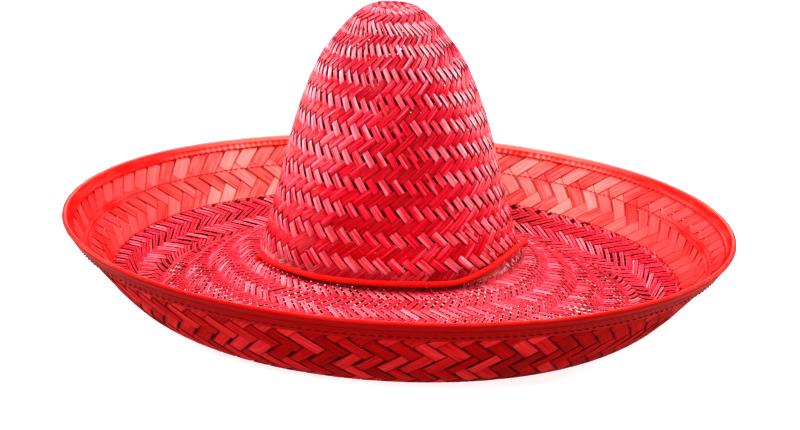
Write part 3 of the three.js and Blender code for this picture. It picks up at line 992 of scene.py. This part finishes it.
def threads():
    red = thread_red("thread_red", (0.55, 0.004, 0.008), (0.85, 0.03, 0.03))
    # the outer row's thread is a darker copy, painted shade to go with the tape's shaded outer face
    shaded_red = thread_red("thread_shaded_red", (0.28, 0.0, 0.001), (0.42, 0.001, 0.004))
    rows = [ # name, CAD node, sheet, radius, height above the sheet's middle, pitch, length, face, material
        ("plait_seam_stitches", "plait_seam_thread", body_section, SEAM_RADIUS, 0.75, 4.6, 3.6, 1, red),
        ("strip_seam_stitches", "strip_seam_thread", band_section, MID_SEAM_RADIUS, 1.1, 5.2, 3.8, 1, red),
        ("binding_stitches_inner", "binding_thread_inner", band_section, 253, 1.75, STITCH_PITCH, 3.4, 1, red),
        ("binding_stitches_outer", "binding_thread_outer", band_section, 250, 1.75, STITCH_PITCH, 3.4, -1, shaded_red),
    ]
    for name, node, section, radius, *measures, material in rows:
        mesh = stitch_ring(name, section, section.at_radius(radius), *measures, material)
        new_piece(name, mesh, (node,))


# The narrow strip over the middle seam

STRIP_START, STRIP_END = -225.0, 7.5 # degrees, round the front
STRIP_WIDTH = 7.0
STRIP_HEIGHT = 0.78 # of its middle, above the band's
STRIP_STEPS = 420


def seam_strip():
    """A narrow leaf strip laid along the seam, narrowed at both ends."""
    material = wide_palm("seam_palm", specular=0.05, anisotropic=0.0)
    t = np.linspace(0, 1, STRIP_STEPS)
    theta = np.radians(STRIP_START + (STRIP_END - STRIP_START) * t)[:, None]
    half = STRIP_WIDTH / 2 * np.clip(np.minimum(t, 1 - t)[:, None] * 90, 0.25, 1) ** 0.5 # less at its ends
    centre = band_section.at_radius(MID_SEAM_RADIUS) + 0.5 * np.sin(theta * 5 + 1) + 0.3 * np.sin(theta * 13)
    u = np.array([-1, -0.96, -0.5, 0.5, 0.96, 1, 0.9, -0.9])
    under = np.arange(len(u)) > 5 # the last two corners are on its lower face
    s = centre + half * u
    height = STRIP_HEIGHT + np.where(under, -0.12, 0.08) + 0.08 * np.sin(theta * 97) + 0.08 * np.sin(theta * 41)
    theta = np.broadcast_to(theta, s.shape)
    points = on_sheet(band_section, s, theta, height)
    # painted shade at the leaf's edges, and at the rim's sides with the back left paler as painted light
    attributes = {
        "tone": 0.45 + 0.3 * np.sin(theta * 9) + 0.25 * np.sin(theta * 31),
        "edge": np.broadcast_to(np.abs(u) * 0.85, s.shape), "dip_shade": np.zeros(s.size),
        "painted_shade": side_shade(points, s),
    }
    uv = np.stack([half * u, theta * MID_SEAM_RADIUS], -1)
    faces = tube_faces(STRIP_STEPS, len(u), flipped=True)
    mesh = build_mesh("seam_leaf", points, faces, material, uv, attributes)
    new_piece("seam_leaf", mesh, ("seam_strip",))


# The braided cord

CORD = 4.5 # diameter
FRONT_CORD = [ # degrees from +X, radius and height round the crown's centre
    [190, 107.6, 39.4], [200, 106.9, 39.6], [210, 106.4, 39.8], [220, 106.1, 39.9], [230, 105, 40.4], [240, 104.3, 41],
    [250, 103.9, 41.4], [260, 103.9, 41.4], [270, 104.4, 40.9], [278, 104.7, 40.8], [286, 103.4, 42.3],
    [296, 102.2, 45.6], [307, 100.9, 49.5], [317, 100.4, 51.2], [328, 100.5, 50.8], [340, 101.9, 47],
    [350, 105.3, 41.9],
]
HOLE = (109, -7.5) # from the crown's centre
HOLE_EXIT = 30.5 # height where the cord comes out below the brim
TAIL_GAP = 2.7 # half the distance between the two tails where they run side by side
TAIL_HEIGHT = 4.2
TAIL_END = -88.6 # y where the knot begins


def side_by_side(side):
    """The last stretch of a tail, beside the other one and up to the knot."""
    return [[side * TAIL_GAP, y, TAIL_HEIGHT] for y in (-6, -30, -60, -88)]


LEFT_TAIL = [
    [-114.3, -5.7, 30.2], [-114.3, -5.4, 20], [-113.4, -3, 11], [-109.6, 2.4, 4.5], [-103, 9.8, 2.3],
    [-93, 19.5, 2.3], [-80, 30, 2.3], [-65, 38.6, 2.3], [-48, 43.2, 2.3], [-31, 41.6, 2.4], [-17.5, 33.2, 2.9],
    [-9, 21, 3.6], [-4.4, 8, 4.1],
] + side_by_side(-1)
RIGHT_TAIL = [
    [103.7, -5.7, 30.2], [103.8, -5.2, 20], [103.2, -2.4, 11], [100.2, 3.4, 4.5], [94.6, 11.6, 2.3],
    [85.6, 22.6, 2.3], [74, 33.4, 2.3], [60, 42.2, 2.3], [44, 46.2, 2.3], [28.6, 43, 2.4], [16.6, 33.6, 2.9],
    [8.8, 21, 3.6], [4.4, 8, 4.1],
] + side_by_side(1)
BRAID_STRANDS = 8 # in each direction
BRAID_PITCH = 17.0 # length of one turn of a strand
BRAID_SIDES = 48
BRAID_STEP = 0.42 # along the cord
BRAID_DEPTH = 0.14 # of the cord's radius, from the strands' backs to the dips between them


def centripetal(points, step):
    """Points at about equal steps on a centripetal curve through the given points, and how far along they lie."""
    p = np.array(points, float)
    q = np.vstack([2 * p[0] - p[1], p, 2 * p[-1] - p[-2]])
    pieces = []
    for a, b, c, d in zip(q[:-3], q[1:-2], q[2:-1], q[3:]):
        ta = 0.0
        tb = ta + np.linalg.norm(b - a) ** 0.5
        tc = tb + np.linalg.norm(c - b) ** 0.5
        td = tc + np.linalg.norm(d - c) ** 0.5
        t = np.linspace(tb, tc, CURVE_STEPS, endpoint=False)[:, None]

        def between(p0, p1, t0, t1):
            return ((t1 - t) * p0 + (t - t0) * p1) / (t1 - t0)

        ab, bc, cd = between(a, b, ta, tb), between(b, c, tb, tc), between(c, d, tc, td)
        pieces.append(between(between(ab, bc, ta, tc), between(bc, cd, tb, td), tb, tc))
    return even_steps(np.vstack(pieces + [p[-1:]]), step)


def sides_along(path):
    """Two directions across a path, which turn as little as they can along it."""
    tangent = unit(np.gradient(path, axis=0))
    side = np.zeros_like(path)
    side[0] = unit(np.cross(tangent[0], [0.31, 0.93, 0.17])) # any direction that no path starts along
    for k in range(1, len(path)):
        side[k] = unit(side[k - 1] - tangent[k] * np.dot(side[k - 1], tangent[k]))
    return side, np.cross(tangent, side)


def braid(name, points, material, nodes, diameter=CORD, taper=0.0):
    """A round braid: strands of two hands that pass over and under each other round a cord."""
    path, at = centripetal(points, BRAID_STEP)
    side, over = sides_along(path)
    a, along = np.meshgrid(TAU * np.arange(BRAID_SIDES) / BRAID_SIDES, at)
    right = (a - TAU * along / BRAID_PITCH) * BRAID_STRANDS / TAU
    left = (a + TAU * along / BRAID_PITCH) * BRAID_STRANDS / TAU
    right_over = (np.floor(right) + np.floor(left)) % 2 == 0
    right, left = (1 - (2 * (strand % 1) - 1) ** 2 for strand in (right, left))
    bump = np.where(right_over, right * (0.55 + 0.45 * left), left * (0.55 + 0.45 * right))
    radius = diameter / 2 * (1 - BRAID_DEPTH + BRAID_DEPTH * bump**0.6)
    if taper:
        from_end = np.clip(np.minimum(along, at[-1] - along) / taper, 0, 1)
        radius = radius * np.sqrt(np.clip(1 - (1 - from_end) ** 2, 0.02, 1))
    around = side[:, None] * np.cos(a)[..., None] + over[:, None] * np.sin(a)[..., None]
    points = path[:, None] + around * radius[..., None]
    # painted shade in the hollows between the strands
    attributes = {"dip_shade": np.clip(1.15 - 1.25 * bump, 0, 1)}
    uv = np.stack([a * 3, along], -1)
    mesh = build_mesh(name, points, tube_faces(len(path), BRAID_SIDES), material, uv, attributes)
    return new_piece(name, mesh, nodes), path, at[-1]


def crown_cord_route():
    """Up out of one hole, round the front of the crown and down into the other."""
    cx, cy = CROWN_SHIFT

    def rise(side):
        x, y = cx + side * HOLE[0], cy + HOLE[1]
        return [
            [x, y, HOLE_EXIT], [x, y, 33.5], [x, y, 36.2], [x - side * 0.3, y - 2.1, 39.1],
            [x - side * 1.3, y - 6, 40.1],
        ]

    ring = [
        [cx + radius * np.cos(np.radians(degrees)), cy + radius * np.sin(np.radians(degrees)), height]
        for degrees, radius, height in FRONT_CORD
    ]
    return rise(-1) + ring + rise(1)[::-1]


def cords(material):
    """The cord's three stretches. The two tails are given back, each with its path and length."""
    braid("braided_front_cord", crown_cord_route(), material, ("crown_cord",))
    return [
        braid("braided_tail_left", LEFT_TAIL, material, ("chin_cord_left",)),
        braid("braided_tail_right", RIGHT_TAIL, material, ("chin_cord_right",)),
    ]


# The knot, the cord's ends and the slider

KNOT_Y = -95.6


def knot(material):
    """An overhand knot tied in both tails at once, with their two short ends below it."""
    pieces = []
    for name, nodes, side in (
        ("knot_loop_left", ("cord_end_left", "cord_knot"), -1), ("knot_loop_right", ("cord_end_right",), 1),
    ):
        t = np.linspace(0, 1, 15) # along one turn of the loop
        turn = TAU * (0.12 + 1.0 * t)
        loop = np.stack([
            side * 3.6 * np.cos(turn) + 0.3 * side, KNOT_Y + 1.4 - 4.2 * t + 2.6 * np.sin(turn),
            5.6 + 3.1 * np.sin(turn + side * 0.9),
        ], 1)
        lead = [[side * TAIL_GAP, TAIL_END, TAIL_HEIGHT], [side * 2.9, -91.0, 5.0]]
        end = [[side * 3.0, -103.4, 3.6], [side * 3.8, -111.5, 2.6], [side * 5.1, -119.4, 2.4]]
        piece, _, _ = braid(name, lead + loop.tolist() + end, material, nodes, diameter=4.0, taper=1.2)
        pieces.append(piece)
    return pieces


SLIDER = {"y": -66, "length": 16, "half_width": 8.4, "half_height": 4.2, "bore_half": 5.5, "bore_radius": 2.75}
SLIDER_SIDES = 72


def slider():
    """A turned oval bead with two grooves and one long bore, its edges rounded."""
    half, wide, high = SLIDER["length"] / 2, SLIDER["half_width"], SLIDER["half_height"]
    angle = TAU * np.arange(SLIDER_SIDES) / SLIDER_SIDES
    cos, sin = np.cos(angle), np.sin(angle)
    from_middle = [[1.0, 0.0], [0.985, 1.3], [0.93, 1.9], [0.985, half - 4.2], [0.90, half - 1.5], [0.80, half - 0.35],
                   [0.72, half]] # share of the full radius, and distance along
    outline = spline([[share, -y] for share, y in from_middle[:0:-1]] + from_middle, 0.3)
    share, along = outline[:, :1], outline[:, 1:]
    outer = np.stack(np.broadcast_arrays(wide * share * cos, along, high * share * sin), -1)

    from_mouth = [[0.45, half - 0.15], [0.15, half - 0.5], [0.0, half - 1.2]] # how far the bore flares there
    flare = np.array(from_mouth + [[0.0, 0.0]] + [[wider, -y] for wider, y in from_mouth[::-1]])
    radius = SLIDER["bore_radius"] + flare[:, :1]
    middle = (SLIDER["bore_half"] - SLIDER["bore_radius"]) * np.sign(cos) * (np.abs(cos) > 0.05)
    bore = np.stack(np.broadcast_arrays(middle + radius * cos, flare[:, 1:], radius * sin), -1)

    rings = np.concatenate([outer, bore])
    uv = np.stack(np.broadcast_arrays(angle * 4, rings[..., 1]), -1)
    faces = [ring_faces(len(rings), SLIDER_SIDES)[:, ::-1]]
    mesh = build_mesh("turned_slider", rings + [0, SLIDER["y"], high], faces, turned_wood(), uv)
    return new_piece("turned_slider", mesh, ("cord_slider",), "slider")


# Camera, light and floor

VIEW_FROM = -19.0 # degrees round the hat from its front
VIEW_DOWN = 16.1 # degrees
VIEW_DISTANCE = 1.5
VIEW_ROLL = 2.8 # degrees
LENS = 86.6
RIM_HEIGHT = 0.064 # that the camera looks at
HAT_MIDDLE = Vector((0, 0, 0.08)) # that the lights point to
LAMPS = [("front", (-0.9, -1.3, 1.6), 24), ("back_left", (-1.3, 1.4, 0.6), 26), ("back_right", (1.9, 0.3, 0.65), 26)]
FLOOR_REACH = 30.0
FLOOR_WHITE = 0.62 # of its colour, and of the glow that keeps it even


def camera():
    data = bpy.data.cameras.new("camera")
    data.lens = LENS
    data.sensor_width = 36
    data.clip_end = FLOOR_REACH
    eye = add_object("camera", data)
    azimuth, elevation = np.radians(VIEW_FROM), np.radians(VIEW_DOWN)
    target = Vector((0, 0, RIM_HEIGHT))
    back = Vector((np.sin(azimuth) * np.cos(elevation), -np.cos(azimuth) * np.cos(elevation), np.sin(elevation)))
    eye.location = target + back * VIEW_DISTANCE
    facing = (target - eye.location).to_track_quat("-Z", "Y").to_matrix().to_4x4()
    eye.matrix_world = Matrix.Translation(eye.location) @ facing @ Matrix.Rotation(np.radians(VIEW_ROLL), 4, "Z")
    bpy.context.scene.camera = eye


def aim(light, direction):
    """Turn a light so that it shines in a direction."""
    light.rotation_euler = direction.to_track_quat("-Z", "Y").to_euler()


def area_light(name, place, power):
    data = bpy.data.lights.new(name, "AREA")
    data.shape = "DISK"
    data.size = 0.6
    data.energy = power
    light = add_object(name, data)
    light.location = place
    aim(light, HAT_MIDDLE - Vector(place))


def studio():
    """A white floor, soft light from above and three lamps: one before the hat, which faces -Y, and two behind."""
    mesh = bpy.data.meshes.new("floor")
    corners = [(x * FLOOR_REACH, y * FLOOR_REACH, 0) for x, y in ((-1, -1), (1, -1), (1, 1), (-1, 1))]
    mesh.from_pydata(corners, [], [(0, 1, 2, 3)])
    add_object("floor", mesh)
    white = Graph("floor_white")
    set_sockets(white.shader, {
        "Base Color": (FLOOR_WHITE, FLOOR_WHITE, FLOOR_WHITE, 1), "Roughness": 0.9, "Specular IOR Level": 0.0,
        "Emission Color": (1, 1, 1, 1), "Emission Strength": FLOOR_WHITE,
    })
    mesh.materials.append(white.material)
    world = bpy.data.worlds.new("studio")
    bpy.context.scene.world = world
    world.use_nodes = True
    set_sockets(world.node_tree.nodes["Background"], {"Color": (1, 1, 1, 1), "Strength": 0.06})
    for name, place, power in LAMPS:
        area_light(name, place, power)
    sun = bpy.data.lights.new("sky", "SUN")
    sun.energy = 3.0
    sun.angle = np.radians(60)
    aim(add_object("sky", sun), Vector((-0.15, -0.45, -1)))
    bpy.context.scene.view_settings.view_transform = "Standard"
    bpy.context.scene.view_settings.look = "High Contrast"


camera()
studio()
cord_material = cord_red()
tails = cords(cord_material)
knots = knot(cord_material)
bead = slider()
fine_plait()
tip_star()
wide_band()
seam_strip()
rim_tape()
threads()
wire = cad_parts["rim_wire"]
wire.data.materials.clear()
wire.data.materials.append(drawn_steel())
